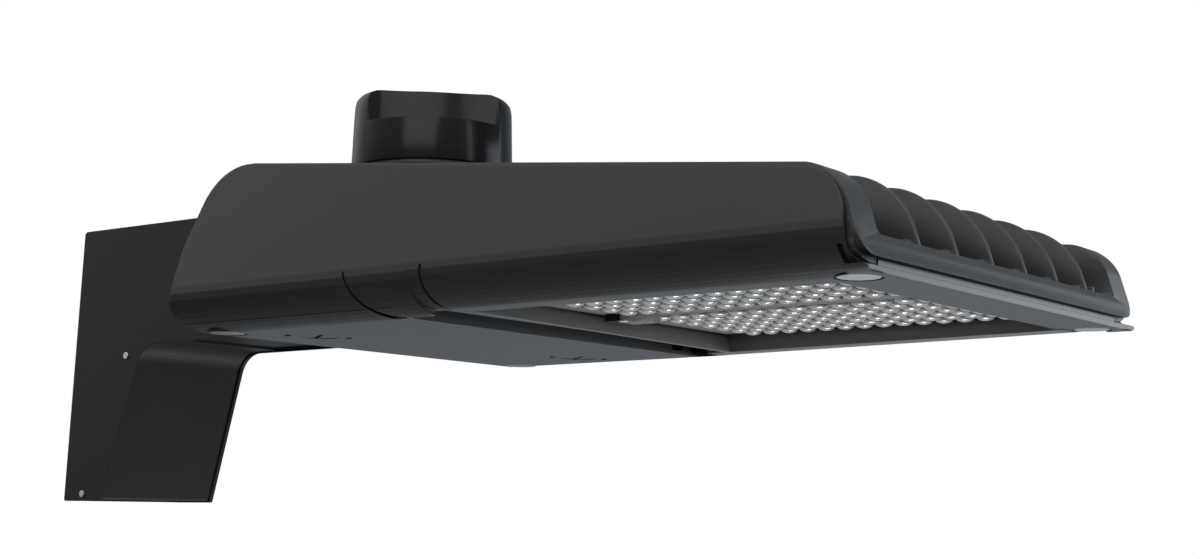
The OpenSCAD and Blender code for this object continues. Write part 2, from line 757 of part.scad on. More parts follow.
module terminal_block() {
  z = tray_z + tray_t;
  color([0.9, 0.9, 0.86]) head_frame() difference() {
    block([60, tray_end - 18, z], [104, tray_end - 2, z + 16]);
    for (i = [0 : 3]) translate([66 + i * 10.6, tray_end - 10, z + 6]) cylinder(h = 20, r = 3, $fn = 24);
  }
}
module tray_screws() {
  z = tray_z + tray_t;
  color(steel_tone) head_frame() for (p = stud_places) translate([p.x, p.y, z]) {
    cylinder(h = 2.4, r = 4, $fn = 32);
    translate([0, 0, -tray_t]) cylinder(h = tray_t + 1, r = 1.9, $fn = 24);
  }
}
module earth_screw() {
  color([0.25, 0.5, 0.3]) head_frame() {
    translate([112, tray_end - 9, tray_z + tray_t]) cylinder(h = 5, r = 5, $fn = 6);
  }
}
// Breather plug on the bay floor behind the frame, in the last bay
module vent_plug() {
  y = (fin_count / 2) * fin_pitch - 6;
  color("black") head_frame() {
    translate([nose_x(floor_z) - 7, y, floor_z]) cylinder(h = 3.4, r = 5, $fn = 32);
  }
}

// Light control on its level seat
module control_frame() {
  translate([control_x, control_y, 0]) children();
}
module receptacle() {
  color(dark_tone) head_frame() control_frame() {
    difference() {
      union() {
        translate([0, 0, boss_top - 22]) cylinder(h = 22 + 2, r = receptacle_r, $fn = 64);
        translate([0, 0, boss_top + 1.5]) cylinder(h = 2.3, r = control_d / 2 - 1.6, $fn = 96);
      }
      for (a = [0, 120, 240]) rotate([0, 0, a]) translate([20, 0, boss_top - 10]) cylinder(h = 20, r = 3.4, $fn = 32);
    }
  }
}
module receptacle_gasket() {
  color("black") head_frame() control_frame() translate([0, 0, boss_top]) difference() {
    cylinder(h = 1.5, r = boss_d / 2 - 4, $fn = 96);
    translate([0, 0, -1]) cylinder(h = 4, r = receptacle_r + fit, $fn = 64);
  }
}
// Cap with a drafted wall, a rounded shoulder and a flat grip cut into each of two sides
cap_top_r = 49.6;
cap_wall = 2.5;
cap_shoulder = 7.5;
grip_turn = -46;
module cap_outline(d) {
  polygon(rounded([
    [0, 0],
    [control_d / 2 - d, 0],
    [cap_top_r - d, control_h - d],
    [0, control_h - d]], [0, 0, cap_shoulder - d / 2, 0]));
}
module grip_cut(grow) {
  bulge_r = 190;
  for (a = [0, 180]) rotate([0, 0, grip_turn + a]) difference() {
    translate([grip_flat - 3 - grow, -control_d / 2, grip_ledge - grow]) cube([control_d, control_d, control_h]);
    translate([grip_flat - grow - bulge_r, 0, grip_ledge - grow - 1]) cylinder(h = control_h + 2, r = bulge_r, $fn = 180);
  }
}
module control_cap() {
  color([0.05, 0.05, 0.05]) head_frame() control_frame() translate([0, 0, control_z]) difference() {
    rotate_extrude($fn = 128) cap_outline(0);
    difference() {
      translate([0, 0, -eps]) rotate_extrude($fn = 96) cap_outline(cap_wall);
      grip_cut(cap_wall);
    }
    grip_cut(0);
  }
}
module control_contacts() {
  blade_t = 1.6;
  color([0.8, 0.65, 0.3]) head_frame() control_frame() for (a = [0, 120, 240]) rotate([0, 0, a])
    translate([20 - blade_t / 2, -3, boss_top - 8]) cube([blade_t, 5.4, 12.5]);
}

// Wall bracket, in the row frame: the side plates lean in towards the top
foot_z = -bracket_h / 2;
top_z = bracket_h / 2;
arm_z = head_rise + 8.4;
head_gap = 0.4;
elbow_x = foot_depth + (arm_z - foot_z) * tan(front_slope);
plate_end = arm_reach + rear_x(top_z - head_rise) + 50;
// Outline of the whole head with the gap the bracket keeps to it
module head_outline() {
  translate([arm_reach, head_rise]) {
    skin_profile(-door_drop, -head_gap);
    sink_profile(0, sink_bottom, -head_gap);
  }
}
module plate_outline() {
  difference() {
    polygon(rounded([
      [0, foot_z],
      [foot_depth, foot_z],
      [elbow_x, arm_z],
      [plate_end, arm_z],
      [plate_end, top_z - 2],
      [0, top_z]], [1.5, 1.5, elbow_round, 0, 0, 3]));
    head_outline();
  }
}
module lean_out(side) {
  translate([0, side * bracket_half, foot_z]) rotate([side * plate_lean, 0, 0]) translate([0, 0, -foot_z]) children();
}
screw_spots = [[63, head_rise + 0.4], [22.5, foot_z + 5.3]];
module side_plate(side) {
  lean_out(side) difference() {
    rotate([90, 0, 0]) translate([0, 0, side > 0 ? 0 : -plate_t]) linear_extrude(height = plate_t) plate_outline();
    for (p = screw_spots) translate([p.x, 0, p.y]) rotate([90, 0, 0]) cylinder(h = 4 * plate_t, r = 1.7, center = true, $fn = 24);
  }
}
module side_plate_near() {
  color(dark_tone) side_plate(-1);
}
module side_plate_far() {
  color(dark_tone) side_plate(1);
}
// The room between the two leaning plates, less a gap at each
function inner_half(z, gap) = bracket_half - plate_t / cos(plate_lean) - (z - foot_z) * tan(plate_lean) - gap;
module between_plates(gap) {
  low = foot_z - 5;
  high = top_z + 5;
  translate([-5, 0, 0]) along_x(arm_reach + 150) polygon([
    [-inner_half(low, gap), low],
    [inner_half(low, gap), low],
    [inner_half(high, gap), high],
    [-inner_half(high, gap), high]]);
}
plate_recess = 1;
panel_end = 118;
floor_over = 3;
// Folded front panel: sloping face, elbow, level tongue, foot and two side flanges
module panel_strip(t) {
  line = rounded([
    [wall_plate_t + fit, foot_z + plate_recess],
    [foot_depth - plate_recess, foot_z + plate_recess],
    [elbow_x - plate_recess, arm_z + plate_recess],
    [panel_end, arm_z + plate_recess]], [0, 2.5, elbow_round, 0]);
  inner = rounded([
    [wall_plate_t + fit, foot_z + plate_recess + t],
    [foot_depth - plate_recess - 1.2 * t, foot_z + plate_recess + t],
    [elbow_x - plate_recess - 1.3 * t, arm_z + plate_recess + t],
    [panel_end, arm_z + plate_recess + t]], [0, 1, elbow_round, 0]);
  polygon(concat(line, [for (i = [len(inner) - 1 : -1 : 0]) inner[i]]));
}
module front_panel() {
  flange_depth = 22;
  flange_line = [
    [wall_plate_t + fit, foot_z + plate_recess + eps],
    [foot_depth - plate_recess - 1.5, foot_z + plate_recess + eps],
    [elbow_x - plate_recess - 8, arm_z - 22],
    [elbow_x - plate_recess - 8, arm_z - 1],
    [elbow_x - flange_depth - 8, arm_z - 1],
    [wall_plate_t + fit, foot_z + 30]];
  color(dark_tone) difference() {
    union() {
      intersection() {
        across_y(3 * bracket_half) panel_strip(sheet_t);
        between_plates(fit);
      }
      difference() {
        intersection() {
          across_y(3 * bracket_half) polygon(flange_line);
          between_plates(fit);
        }
        between_plates(fit + sheet_t);
      }
    }
    for (p = screw_spots) translate([p.x, 0, p.y]) rotate([90, 0, 0]) cylinder(h = 3 * bracket_half, r = 1.7, center = true, $fn = 24);
  }
}
module panel_screws() {
  color(steel_tone) for (side = [-1, 1], p = screw_spots)
    lean_out(side) translate([p.x, 0, p.y]) rotate([side * 90, 0, 0]) {
      translate([0, 0, -1.2]) cylinder(h = 1.2, r = 2.6, $fn = 32);
      cylinder(h = plate_t + sheet_t + 1.5, r = 1.4, $fn = 24);
    }
}
wire_z = 52;
module wall_plate() {
  color(dark_tone) difference() {
    intersection() {
      block([0, -bracket_half, foot_z], [wall_plate_t, bracket_half, top_z - sheet_t - 1.2]);
      between_plates(0);
    }
    for (y = [-bolt_dx / 2, bolt_dx / 2], z = [-bolt_dz / 2, bolt_dz / 2])
      translate([-1, y, z]) rotate([0, 90, 0]) cylinder(h = wall_plate_t + 2, r = bolt_hole_r, $fn = 48);
    translate([-1, 0, wire_z]) rotate([0, 90, 0]) cylinder(h = wall_plate_t + 2, r = wire_hole_r, $fn = 64);
  }
}
module wire_grommet() {
  lip = 2;
  bore_r = wire_hole_r - 4;
  color("black") translate([0.5, 0, wire_z]) rotate([0, 90, 0]) difference() {
    union() {
      cylinder(h = wall_plate_t + 1, r = wire_hole_r - fit / 2, $fn = 64);
      translate([0, 0, wall_plate_t - 0.5]) cylinder(h = 2, r = wire_hole_r + lip, $fn = 64);
    }
    translate([0, 0, -1]) cylinder(h = wall_plate_t + 6, r = bore_r, $fn = 64);
  }
}
module arm_cover() {
  color(dark_tone) difference() {
    intersection() {
      across_y(3 * bracket_half) difference() {
        polygon([
          [0, top_z - sheet_t - 1],
          [plate_end, top_z - sheet_t - 3],
          [plate_end, top_z - 3],
          [0, top_z - 1]]);
        head_outline();
      }
      between_plates(0);
    }
  }
}
module arm_floor() {
  low = arm_z + floor_over;
  color(dark_tone) intersection() {
    across_y(3 * bracket_half) difference() {
      block2([panel_end - 14, low], [plate_end, low + sheet_t]);
      head_outline();
    }
    between_plates(0);
  }
}
module block2(lo, hi) {
  translate(lo) square(hi - lo);
}
// End plate and gasket on the leaning rear face of the head
end_plate_t = 4;
gasket_t = 1.5;
module flange_sheet(from, t, half) {
  difference() {
    on_rear_face(1) translate([from, -half, 0]) cube([t, 2 * half, flange_h - 1]);
    at_head_bolts() translate([0, 0, -20]) cylinder(h = 30, r = head_bolt_r + bolt_room, $fn = 32);
    on_rear_face(flange_mid) rotate([0, 90, 0]) translate([0, 0, -20]) cylinder(h = 30, r = wire_hole_r - 3, $fn = 48);
  }
}
module arm_end_plate() {
  color(dark_tone) intersection() {
    head_frame() flange_sheet(-gasket_t - end_plate_t, end_plate_t, bracket_half);
    between_plates(0);
  }
}
module head_gasket() {
  color("black") head_frame() flange_sheet(-gasket_t, gasket_t, flange_half - 2);
}
module head_bolts() {
  bolt_head_h = 5;
  bolt_head_r = 6.5;
  washer_t = 1.4;
  color(steel_tone) head_frame() at_head_bolts() {
    translate([0, 0, -gasket_t - end_plate_t - washer_t]) cylinder(h = washer_t, r = bolt_head_r + 1.5, $fn = 32);
    translate([0, 0, -gasket_t - end_plate_t - washer_t - bolt_head_h]) cylinder(h = bolt_head_h, r = bolt_head_r, $fn = 6);
    translate([0, 0, -gasket_t - end_plate_t - washer_t]) cylinder(h = wall + pad_t + gasket_t + end_plate_t + washer_t, r = head_bolt_r, $fn = 32);
  }
}

outer_shell();
heat_sink();
driver_door();
door_gasket();
door_latches();
corner_caps();
corner_nuts();
chamber_gasket();
optic_retainer();
lens_strip_near();
lens_strip_far();
led_board_near();
led_board_far();
led_connector();
connector_cover();
led_lead();
driver_tray();
led_driver();
surge_protector();
terminal_block();
tray_screws();
vent_plug();
receptacle();
receptacle_gasket();
control_cap();
control_contacts();
wall_plate();
wire_grommet();
side_plate_near();
side_plate_far();
front_panel();
arm_cover();
arm_floor();
arm_end_plate();
head_gasket();
head_bolts();
panel_screws();
earth_screw();
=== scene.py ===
# LED area light on a wall bracket, dressed for a studio picture.
# Shapes are given in millimetres of the head's own frame and become metres of the shared frame
# through head() and MM. The floor and the lamps are placed in metres of the shared frame.
import math
import bpy
import bmesh
from mathutils import Matrix, Vector


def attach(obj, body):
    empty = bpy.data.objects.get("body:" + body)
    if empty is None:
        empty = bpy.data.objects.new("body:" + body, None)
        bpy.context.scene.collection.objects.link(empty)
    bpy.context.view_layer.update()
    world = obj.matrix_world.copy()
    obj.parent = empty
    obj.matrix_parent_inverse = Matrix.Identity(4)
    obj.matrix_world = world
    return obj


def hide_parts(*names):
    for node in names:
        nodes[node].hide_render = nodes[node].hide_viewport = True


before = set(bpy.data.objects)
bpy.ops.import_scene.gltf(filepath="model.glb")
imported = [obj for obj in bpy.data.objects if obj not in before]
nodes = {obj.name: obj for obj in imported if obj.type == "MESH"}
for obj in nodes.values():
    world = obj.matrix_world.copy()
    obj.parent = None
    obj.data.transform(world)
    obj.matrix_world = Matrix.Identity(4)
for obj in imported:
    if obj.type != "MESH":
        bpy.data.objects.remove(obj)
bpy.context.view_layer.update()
MM = 0.001

# The head's own frame starts at its rear face, on the underside
ARM_REACH = 261.0
HEAD_RISE = 4.0

# Roof line and nose face of the head, as falls per millimetre
ROOF_HEIGHT = 105.8
ROOF_FALL = math.tan(math.radians(6.1))
NOSE_SLOPE = math.tan(math.radians(16.6))
NOSE_FOOT = 509.85

# Die-cast heat sink
SINK_START = 62.3
SINK_HALF = 166.7
SINK_ROUND = 16.6
ROOF_START = 74.0
POST_ROUND = 29.0
BAR_BOTTOM = 8.2
BAR_TIP = 500.3
BAR_TIP_TOP = 32.0
BAR_ROUND = 12.0
BAY_START = 204.0
BAY_HALF = 145.5
BAY_FLOOR = 20.0
BAY_ROUND = 3.5
HOLLOW_HALF = 163.5
CAVITY_WALL = 3.3
BOARD_TOP = 16.1
BOARD_END = 485.0
PLUG_HALF = 166.0
PLUG_BOTTOM = 5.4
PLUG_ROUND = 17.0
LEAD_RADIUS = 2.6
CASTING_EDGE = 1.3
FIN_COUNT = 6
FIN_THICK = 2.6
FIN_PROUD = 3.4
FIN_ROUND = 42.5
FOOT_HEIGHT = 2.4

# Light control and its seat on the roof
CONTROL_X = 135.4
CONTROL_Y = -73.0
CONTROL_BOTTOM = 100.4
SEAT_TOP = 96.4
SEAT_RADIUS = 47.8
SOCKET_RADIUS = 29.3
GRIP_TURN = -46.0
GRIP_LEDGE = 26.2

# Lens strips: the array is centred on LENS_MID and its rows count from the middle of the head
LENS_COLUMNS = 14
LENS_ROWS = 7
LENS_PITCH = 14.6
LENS_ROW_PITCH = 17.47
LENS_MID = 347.6
LENS_BASE = 10.6
LENS_SIZE = (6.3, 6.6, 3.2)

# Round corner discs: rear pair on the door's level, front pair on the shell's
DISC_PLACES = ((25.8, -2.8), (490.4, 0.2))
DISC_HALF = 141.0
DISC_RADIUS = 11.2
DISC_EDGE = 1.5
STEM_RADIUS = 2.1
STEM_TOP = 6.0
# Width of the dark ring that paints the shadow gap round each disc
SHADOW_RING_WIDTH = 0.6

# Camera fitted to the picture. Its place is in millimetres, with the height counted from the head's
# underside, and its focal length and centre are in the picture's own pixels.
CAMERA_YAW = 0.6197454
CAMERA_PITCH = 0.1328541
CAMERA_ROLL = 0.0089212
CAMERA_PLACE = (1187.631, -885.676, -116.323)
PICTURE_WIDTH = 1200.0
FOCAL_PIXELS = 1780.648
CENTRE_PIXEL = 700.0
SENSOR = 36.0

# Light that the studio gives to matt surfaces, and what glossy ones mirror
WORLD_SOFT = 0.06
WORLD_GLARE = 0.36
WORLD_NEAR = 0.94
WORLD_DARK = 0.02


def make_camera():
    """Camera below the head and on its near side, with a shifted lens."""
    yaw, pitch, roll = CAMERA_YAW, CAMERA_PITCH, CAMERA_ROLL
    spot = Vector((CAMERA_PLACE[0], CAMERA_PLACE[1], CAMERA_PLACE[2] + HEAD_RISE)) * MM
    ahead = Vector((-math.sin(yaw) * math.cos(pitch), math.cos(yaw) * math.cos(pitch), math.sin(pitch)))
    right = Vector((math.cos(yaw), math.sin(yaw), 0.0))
    up = right.cross(ahead)
    side = math.cos(roll) * right + math.sin(roll) * up
    top = -math.sin(roll) * right + math.cos(roll) * up
    data = bpy.data.cameras.new("camera")
    data.sensor_width = SENSOR
    data.sensor_fit = "HORIZONTAL"
    data.lens = FOCAL_PIXELS * SENSOR / PICTURE_WIDTH
    data.shift_x = (PICTURE_WIDTH / 2.0 - CENTRE_PIXEL) / PICTURE_WIDTH
    data.clip_start = 0.01
    data.clip_end = 50.0
    camera = bpy.data.objects.new("camera", data)
    bpy.context.scene.collection.objects.link(camera)
    turn = Matrix((side, top, -ahead)).transposed()
    camera.matrix_world = Matrix.Translation(spot) @ turn.to_4x4()
    bpy.context.scene.camera = camera


def grey(level, blue=1.0):
    """A display level from 0 to 255 as a linear colour, with a little more or less blue."""
    value = level / 255.0
    linear = value / 12.92 if value <= 0.04045 else ((value + 0.055) / 1.055) ** 2.4
    return (linear, linear * (1.0 + (blue - 1.0) * 0.5), linear * blue, 1.0)


def new_material(name):
    """A material with its node tree and its surface node."""
    material = bpy.data.materials.new(name)
    material.use_nodes = True
    return material, material.node_tree, material.node_tree.nodes["Principled BSDF"]


def coat_group():
    """Mask group of a sprayed coat: fine grain, slow colour drift, rubbed edges and a softened normal."""
    group = bpy.data.node_groups.new("coat_grain", "ShaderNodeTree")
    for name, way, kind in (("Colour", "INPUT", "Color"), ("Worn colour", "INPUT", "Color"),
                            ("Grain scale", "INPUT", "Float"), ("Wear", "INPUT", "Float"),
                            ("Roughness", "INPUT", "Float"), ("Colour", "OUTPUT", "Color"),
                            ("Roughness", "OUTPUT", "Float"), ("Height", "OUTPUT", "Float"),
                            ("Soft normal", "OUTPUT", "Vector")):
        group.interface.new_socket(name, in_out=way, socket_type="NodeSocket" + kind)
    tree = group.nodes
    link = group.links.new
    source = tree.new("NodeGroupInput")
    result = tree.new("NodeGroupOutput")
    coords = tree.new("ShaderNodeTexCoord")
    grain = tree.new("ShaderNodeTexNoise")
    grain.inputs["Detail"].default_value = 3.0
    grain.inputs["Roughness"].default_value = 0.6
    link(coords.outputs["Object"], grain.inputs["Vector"])
    link(source.outputs["Grain scale"], grain.inputs["Scale"])
    drift = tree.new("ShaderNodeTexNoise")
    drift.inputs["Scale"].default_value = 9.0
    drift.inputs["Detail"].default_value = 2.0
    link(coords.outputs["Object"], drift.inputs["Vector"])
    # Rubbed edges: where the rounded normal leaves the face's own normal
    soft = tree.new("ShaderNodeBevel")
    soft.samples = 4
    soft.inputs["Radius"].default_value = 0.0007
    shape = tree.new("ShaderNodeNewGeometry")
    match = tree.new("ShaderNodeVectorMath")
    match.operation = "DOT_PRODUCT"
    link(soft.outputs["Normal"], match.inputs[0])
    link(shape.outputs["Normal"], match.inputs[1])
    edge = tree.new("ShaderNodeMapRange")
    edge.inputs["From Min"].default_value = 0.985
    edge.inputs["From Max"].default_value = 0.86
    link(match.outputs["Value"], edge.inputs["Value"])
    broken = tree.new("ShaderNodeMath")
    broken.operation = "MULTIPLY"
    link(edge.outputs["Result"], broken.inputs[0])
    link(drift.outputs["Fac"], broken.inputs[1])
    worn = tree.new("ShaderNodeMath")
    worn.operation = "MULTIPLY"
    link(broken.outputs["Value"], worn.inputs[0])
    link(source.outputs["Wear"], worn.inputs[1])
    mottle = tree.new("ShaderNodeMapRange")
    mottle.inputs["To Min"].default_value = 0.9
    mottle.inputs["To Max"].default_value = 1.1
    link(drift.outputs["Fac"], mottle.inputs["Value"])
    tint = tree.new("ShaderNodeVectorMath")
    tint.operation = "SCALE"
    link(source.outputs["Colour"], tint.inputs[0])
    link(mottle.outputs["Result"], tint.inputs["Scale"])
    mix = tree.new("ShaderNodeMix")
    mix.data_type = "RGBA"
    link(worn.outputs["Value"], mix.inputs["Factor"])
    link(tint.outputs["Vector"], mix.inputs["A"])
    link(source.outputs["Worn colour"], mix.inputs["B"])
    link(mix.outputs["Result"], result.inputs["Colour"])
    satin = tree.new("ShaderNodeMapRange")
    satin.inputs["To Min"].default_value = -0.05
    satin.inputs["To Max"].default_value = 0.05
    link(grain.outputs["Fac"], satin.inputs["Value"])
    rough = tree.new("ShaderNodeMath")
    rough.operation = "ADD"
    link(satin.outputs["Result"], rough.inputs[0])
    link(source.outputs["Roughness"], rough.inputs[1])
    link(rough.outputs["Value"], result.inputs["Roughness"])
    link(grain.outputs["Fac"], result.inputs["Height"])
    link(soft.outputs["Normal"], result.inputs["Soft normal"])
    return group


COAT = coat_group()


def coated(name, level, blue=1.06, worn=96, roughness=0.32, scale=1500.0, bump=0.06, wear=0.5, specular=0.5):
    """A sprayed or moulded finish with grain, slow colour drift and rubbed edges."""
    material, tree, surface = new_material(name)
    coat = tree.nodes.new("ShaderNodeGroup")
    coat.node_tree = COAT
    coat.inputs["Colour"].default_value = grey(level, blue)
    coat.inputs["Worn colour"].default_value = grey(worn, blue)
    coat.inputs["Grain scale"].default_value = scale
    coat.inputs["Wear"].default_value = wear
    coat.inputs["Roughness"].default_value = roughness
    relief = tree.nodes.new("ShaderNodeBump")
    relief.inputs["Strength"].default_value = bump
    relief.inputs["Distance"].default_value = 0.0003
    tree.links.new(coat.outputs["Height"], relief.inputs["Height"])
    tree.links.new(coat.outputs["Soft normal"], relief.inputs["Normal"])
    tree.links.new(coat.outputs["Colour"], surface.inputs["Base Color"])
    tree.links.new(coat.outputs["Roughness"], surface.inputs["Roughness"])
    tree.links.new(relief.outputs["Normal"], surface.inputs["Normal"])
    surface.inputs["Specular IOR Level"].default_value = specular
    return material


def bare_metal(name, level, blue=1.0, roughness=0.35, scale=700.0):
    """Plain metal with fine brushed streaks."""
    material = coated(name, level, blue, worn=level + 30, roughness=roughness, scale=scale, bump=0.05,
                      wear=0.3)
    material.node_tree.nodes["Principled BSDF"].inputs["Metallic"].default_value = 1.0
    return material


def lens_cells():
    """Mask group of the lens array: one output is one at each lens's edge, where shade is painted, the other
    is one at a spot just off its middle, where a highlight is painted.
    """
    group = bpy.data.node_groups.new("lens_cells", "ShaderNodeTree")
    for name in ("Rim shade", "Painted highlight"):
        group.interface.new_socket(name, in_out="OUTPUT", socket_type="NodeSocketFloat")
    result = group.nodes.new("NodeGroupOutput")

    def step(operation, first, *rest):
        node = group.nodes.new("ShaderNodeMath")
        node.operation = operation
        for index, value in enumerate((first,) + rest):
            if isinstance(value, float):
                node.inputs[index].default_value = value
            else:
                group.links.new(value, node.inputs[index])
        return node.outputs["Value"]

    coords = group.nodes.new("ShaderNodeTexCoord")
    axes = group.nodes.new("ShaderNodeSeparateXYZ")
    group.links.new(coords.outputs["Object"], axes.inputs["Vector"])
    # Place inside one cell of the array, counted in lens radii from the cell's centre
    radius = 0.43
    first = (ARM_REACH + LENS_MID - LENS_PITCH / 2.0) * MM
    column = step("DIVIDE", step("SUBTRACT", axes.outputs["X"], first), LENS_PITCH * MM)
    row = step("DIVIDE", axes.outputs["Y"], LENS_ROW_PITCH * MM)
    along = step("DIVIDE", step("WRAP", column, 0.5, -0.5), radius)
    across = step("DIVIDE", step("WRAP", row, 0.5, -0.5), radius)
    # One mask paints shade at each lens's edge; the other, shifted off the middle, paints a highlight
    for name, shift, dark, bright in (("Rim shade", 0.0, 0.8, 1.0), ("Painted highlight", 0.2, 0.5, 0.25)):
        off = step("ADD", across, shift)
        reach = step("SQRT", step("ADD", step("MULTIPLY", along, along), step("MULTIPLY", off, off)))
        mask = group.nodes.new("ShaderNodeMapRange")
        mask.inputs["From Min"].default_value = dark
        mask.inputs["From Max"].default_value = bright
        group.links.new(reach, mask.inputs["Value"])
        group.links.new(mask.outputs["Result"], result.inputs[name])
    return group


def moulded_lens(name):
    """Clear lenses over a white board: pale, with a painted highlight near the middle and painted shade at
    the rim of each lens.
    """
    material, tree, surface = new_material(name)
    cells = tree.nodes.new("ShaderNodeGroup")
    cells.node_tree = lens_cells()
    # Painted shade: each lens darkens toward its rim
    body = tree.nodes.new("ShaderNodeMix")
    body.data_type = "RGBA"
    body.inputs["A"].default_value = (0.86, 0.87, 0.87, 1.0)
    body.inputs["B"].default_value = (0.16, 0.16, 0.16, 1.0)
    tree.links.new(cells.outputs["Rim shade"], body.inputs["Factor"])
    # Painted highlight: a white spot on each lens
    bright = tree.nodes.new("ShaderNodeMix")
    bright.data_type = "RGBA"
    bright.inputs["B"].default_value = (1.0, 1.0, 1.0, 1.0)
    tree.links.new(cells.outputs["Painted highlight"], bright.inputs["Factor"])
    tree.links.new(body.outputs["Result"], bright.inputs["A"])
    tree.links.new(bright.outputs["Result"], surface.inputs["Base Color"])
    surface.inputs["Transmission Weight"].default_value = 0.2
    surface.inputs["IOR"].default_value = 1.49
    surface.inputs["Roughness"].default_value = 0.08
    surface.inputs["Specular IOR Level"].default_value = 0.9
    return material


def clear_acrylic(name):
    """Clear moulded cover with a faint ripple."""
    material, tree, surface = new_material(name)
    surface.inputs["Base Color"].default_value = (0.8, 0.81, 0.82, 1.0)
    surface.inputs["Transmission Weight"].default_value = 0.5
    surface.inputs["IOR"].default_value = 1.49
    ripple = tree.nodes.new("ShaderNodeTexNoise")
    ripple.inputs["Scale"].default_value = 260.0
    coords = tree.nodes.new("ShaderNodeTexCoord")
    tree.links.new(coords.outputs["Object"], ripple.inputs["Vector"])
    haze = tree.nodes.new("ShaderNodeMapRange")
    haze.inputs["To Min"].default_value = 0.03
    haze.inputs["To Max"].default_value = 0.09
    tree.links.new(ripple.outputs["Fac"], haze.inputs["Value"])
    tree.links.new(haze.outputs["Result"], surface.inputs["Roughness"])
    relief = tree.nodes.new("ShaderNodeBump")
    relief.inputs["Strength"].default_value = 0.05
    relief.inputs["Distance"].default_value = 0.0004
    tree.links.new(ripple.outputs["Fac"], relief.inputs["Height"])
    tree.links.new(relief.outputs["Normal"], surface.inputs["Normal"])
    return material


SHELL_COAT = coated("shell_coat", 52, 0.99)
CASTING_COAT = coated("casting_coat", 58, roughness=0.4)
DOOR_COAT = coated("door_coat", 58, 1.08, roughness=0.36)
BRACKET_COAT = coated("bracket_coat", 40, 0.99, roughness=0.5, specular=0.2)
BEZEL_PLASTIC = coated("bezel_plastic", 128, 0.99, roughness=0.6, scale=900.0)
RUBBER = coated("rubber", 28, 1.0, worn=50, roughness=0.7, scale=600.0)
NYLON = coated("nylon", 30, 1.0, worn=60, roughness=0.5, scale=500.0)
GLOSS_BLACK = coated("gloss_black", 14, 1.0, worn=50, roughness=0.2, scale=300.0, bump=0.01, wear=0.2,
                     specular=0.16)
WHITE_MASK = coated("white_mask", 225, 1.0, worn=240, roughness=0.5, scale=500.0)
WHITE_CASE = coated("white_case", 215, 1.0, worn=190, roughness=0.4, scale=400.0)
EARTH_GREEN = coated("earth_green", 90, 0.8, worn=160, roughness=0.4)
CAP_METAL = bare_metal("cap_metal", 185, 1.04, roughness=0.4)
ZINC = bare_metal("zinc", 190, 1.0, roughness=0.38)
BRASS = bare_metal("contact_brass", 190, 0.5, roughness=0.3)
ACRYLIC = clear_acrylic("clear_acrylic")
MOULDED_LENS = moulded_lens("moulded_lens")

# Finish of every solid. Those that a piece built here stands for keep theirs too.
FINISH = {
    "outer_shell": SHELL_COAT,
    "heat_sink": CASTING_COAT,
    "driver_door": DOOR_COAT,
    "door_gasket": RUBBER,
    "door_latches": DOOR_COAT,
    "corner_caps": CAP_METAL,
    "corner_nuts": ZINC,
    "chamber_gasket": RUBBER,
    "optic_retainer": BEZEL_PLASTIC,
    "lens_strip_near": ACRYLIC,
    "lens_strip_far": ACRYLIC,
    "led_board_near": WHITE_MASK,
    "led_board_far": WHITE_MASK,
    "led_connector": NYLON,
    "connector_cover": ACRYLIC,
    "led_lead": WHITE_MASK,
    "driver_tray": ZINC,
    "led_driver": WHITE_CASE,
    "surge_protector": NYLON,
    "terminal_block": WHITE_MASK,
    "tray_screws": ZINC,
    "vent_plug": NYLON,
    "receptacle": NYLON,
    "receptacle_gasket": RUBBER,
    "control_cap": GLOSS_BLACK,
    "control_contacts": BRASS,
    "wall_plate": BRACKET_COAT,
    "wire_grommet": RUBBER,
    "side_plate_near": BRACKET_COAT,
    "side_plate_far": BRACKET_COAT,
    "front_panel": BRACKET_COAT,
    "arm_cover": BRACKET_COAT,
    "arm_floor": BRACKET_COAT,
    "arm_end_plate": BRACKET_COAT,
    "head_gasket": RUBBER,
    "head_bolts": ZINC,
    "panel_screws": ZINC,
    "earth_screw": EARTH_GREEN,
}


def dress_frame():
    """Gives every solid of the frame its finish."""
    for name, material in FINISH.items():
        piece = nodes[name]
        piece.data.materials.clear()
        piece.data.materials.append(material)


def head(x, y, z):
    """A point of the head's own frame, in millimetres, as a place in the shared frame."""
    return Vector((x + ARM_REACH, y, z + HEAD_RISE)) * MM


def rim(x):
    """Height of the roof edge above the underside."""
    return ROOF_HEIGHT - x * ROOF_FALL


def nose(z):
    """Reach of the leaning nose face at a height."""
    return NOSE_FOOT - z * NOSE_SLOPE


def crest(rise):
    """Corner where a line above the roof edge meets the nose face."""
    height = (ROOF_HEIGHT + rise - NOSE_FOOT * ROOF_FALL) / (1.0 - NOSE_SLOPE * ROOF_FALL)
    return (nose(height), height)


def new_verts(grown):
    """The corners that an extrusion or a copy has made."""
    return [item for item in grown["geom"] if isinstance(item, bmesh.types.BMVert)]


def tangent_length(before, corner, after, radius):
    """How far a round of one radius reaches along both sides of a corner."""
    one = (Vector(before) - Vector(corner)).normalized()
    two = (Vector(after) - Vector(corner)).normalized()
    return radius / math.tan(one.angle(two) / 2.0) * MM


def drawn_out(form, way):
    """Extrudes the one face of a form into a closed solid. Gives back the corners of its far end."""
    grown = bmesh.ops.extrude_face_region(form, geom=form.faces[:], use_keep_orig=True)
    ends = new_verts(grown)
    bmesh.ops.translate(form, verts=ends, vec=Vector(way) * MM)
    bmesh.ops.recalc_face_normals(form, faces=form.faces[:])
    return ends


def outline_solid(corners, low, high, rounds=None, steps=12):
    """A side outline of (x, z) corners, some of them rounded, drawn from one y to another."""
    form = bmesh.new()
    verts = [form.verts.new(head(x, low, z)) for x, z in corners]
    form.faces.new(verts)
    for index, radius in (rounds or {}).items():
        after = corners[(index + 1) % len(corners)]
        reach = tangent_length(corners[index - 1], corners[index], after, radius)
        bmesh.ops.bevel(form, geom=[verts[index]], offset=reach, affect="VERTICES", segments=steps,
                        profile=0.5, material=-1)
    drawn_out(form, (0.0, high - low, 0.0))
    return form


